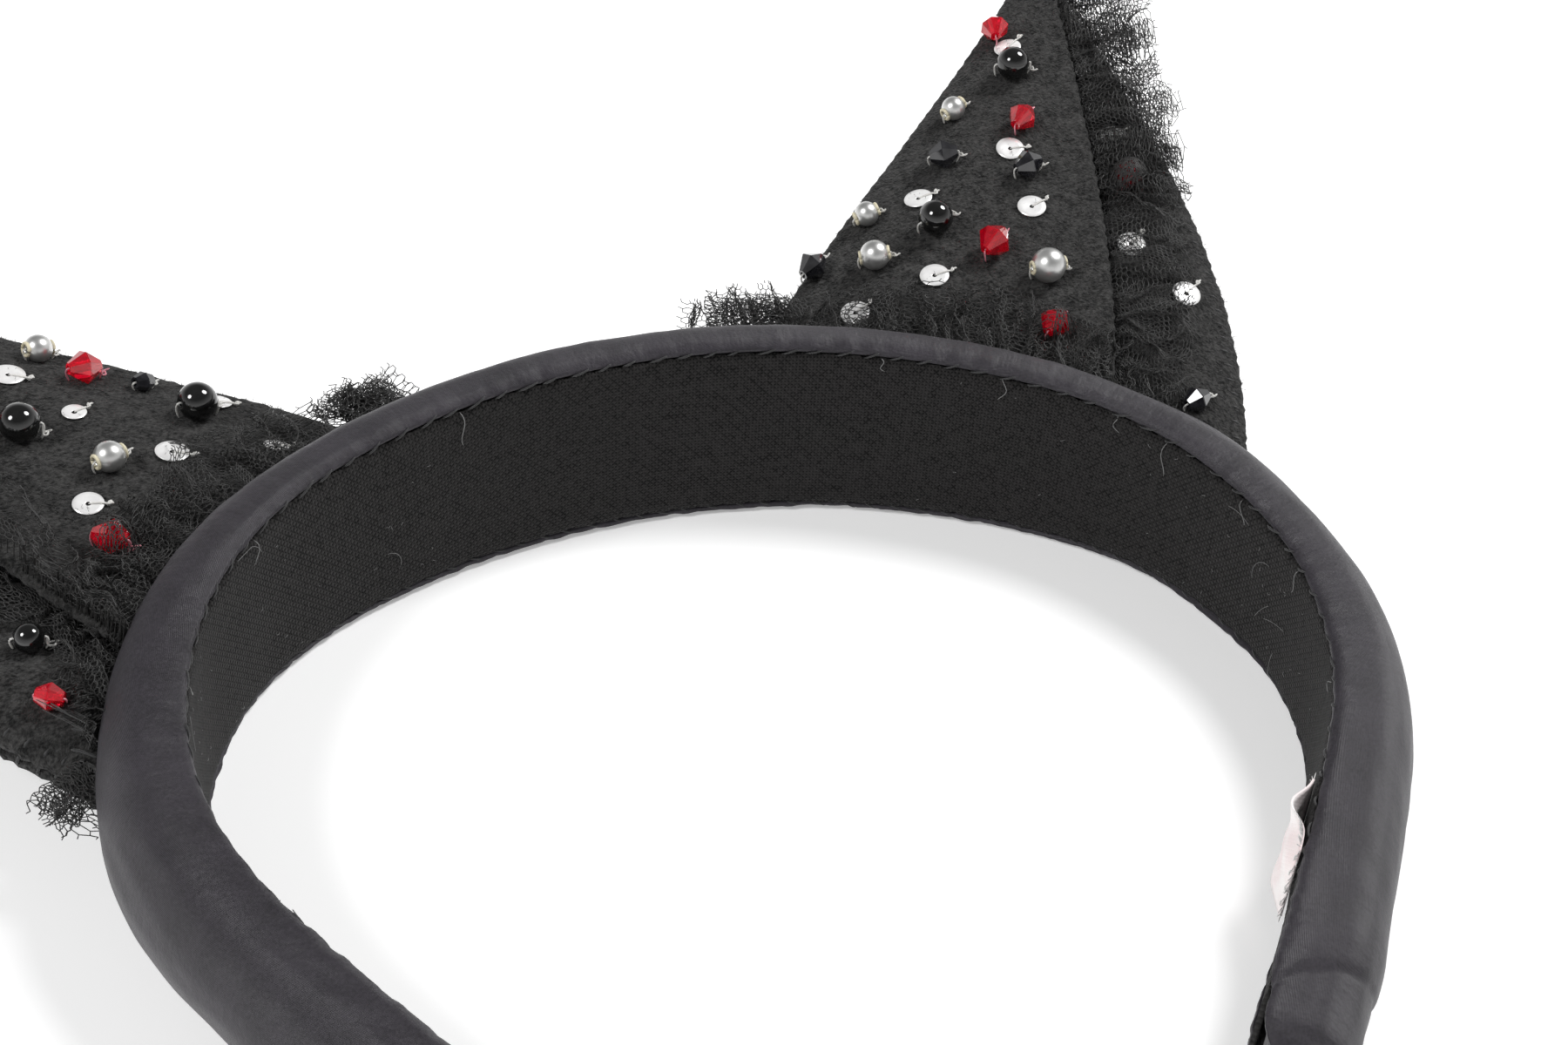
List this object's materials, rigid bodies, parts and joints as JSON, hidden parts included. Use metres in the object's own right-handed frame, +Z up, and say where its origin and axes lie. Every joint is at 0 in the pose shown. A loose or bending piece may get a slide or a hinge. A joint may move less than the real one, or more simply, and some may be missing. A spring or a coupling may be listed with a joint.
{
  "type": "animal ears headband",
  "caption": "Padded satin headband with two felt cat ears, gathered net ruffles, sewn pearls, crystals and sequins.",
  "frame": {"origin": "under the middle of the whole object's box, on the surface that the band's rear edge lies on", "axes": "+Z up from the table to the band's front edge; the crown is towards +Y, the arms run towards -Y, +X is the right arm"},
  "size_m": [0.2277, 0.1901, 0.0508],
  "materials": {
    "core_plastic": "smooth moulded strip, hidden inside",
    "foam": "soft open foam, hidden inside",
    "satin": "charcoal satin with a soft sheen",
    "lining_cloth": "black plain weave",
    "black_thread": "black sewing thread",
    "label_cloth": "white and pale pink woven tape, blank",
    "white_thread": "white sewing thread",
    "felt": "black wool felt",
    "wadding": "inner layer, hidden inside",
    "net": "black net, open mesh",
    "silver_pearl": "polished silver coating",
    "black_pearl": "high gloss black",
    "red_crystal": "faceted red glass",
    "black_crystal": "faceted black glass",
    "sequin_film": "silver film",
    "clear_thread": "clear nylon thread"
  },
  "bodies": {
    "right_half": {"core_right": "core_plastic", "foam_right": "foam", "cover_right": "satin", "tip_fold_right": "satin", "lining_right": "lining_cloth", "front_seam_right": "black_thread", "rear_seam_right": "black_thread", "care_label": "label_cloth", "label_stitches": "white_thread"},
    "left_half": {"core_left": "core_plastic", "foam_left": "foam", "cover_left": "satin", "tip_fold_left": "satin", "lining_left": "lining_cloth", "front_seam_left": "black_thread", "rear_seam_left": "black_thread"},
    "right_ear": {"right_ear_front_felt": "felt", "right_ear_side_felt": "felt", "right_ear_back_felt": "felt", "right_ear_wadding": "wadding", "right_ear_edge_stitches": "black_thread", "right_ear_base_stitches": "black_thread", "right_side_ruffle": "net", "right_base_ruffle": "net", "right_silver_pearls": "silver_pearl", "right_black_pearls": "black_pearl", "right_red_bicones": "red_crystal", "right_black_bicones": "black_crystal", "right_sequins": "sequin_film", "right_bead_threads": "clear_thread"},
    "left_ear": {"left_ear_front_felt": "felt", "left_ear_side_felt": "felt", "left_ear_back_felt": "felt", "left_ear_wadding": "wadding", "left_ear_edge_stitches": "black_thread", "left_ear_base_stitches": "black_thread", "left_side_ruffle": "net", "left_base_ruffle": "net", "left_silver_pearls": "silver_pearl", "left_black_pearls": "black_pearl", "left_red_bicones": "red_crystal", "left_black_bicones": "black_crystal", "left_sequins": "sequin_film", "left_bead_threads": "clear_thread"}
  },
  "joints": [
    {"name": "band_flex", "type": "hinge", "parent": "right_half", "child": "left_half", "pos_m": [0.0206, 0.0281, 0.01375], "axis": [0, 0, -1], "range_deg": [0, 25], "stiffness_Nm_per_rad": 1},
    {"name": "right_ear_bend", "type": "hinge", "parent": "right_half", "child": "right_ear", "pos_m": [0.06368, 0.01718, 0.01739], "axis": [0.8988, -0.4384, 0], "range_deg": [-25, 45], "stiffness_Nm_per_rad": 0.08},
    {"name": "left_ear_bend", "type": "hinge", "parent": "left_half", "child": "left_ear", "pos_m": [-0.04308, 0.0014, 0.01501], "axis": [0.6691, 0.7431, 0], "range_deg": [-12, 45], "stiffness_Nm_per_rad": 0.08}
  ]
}
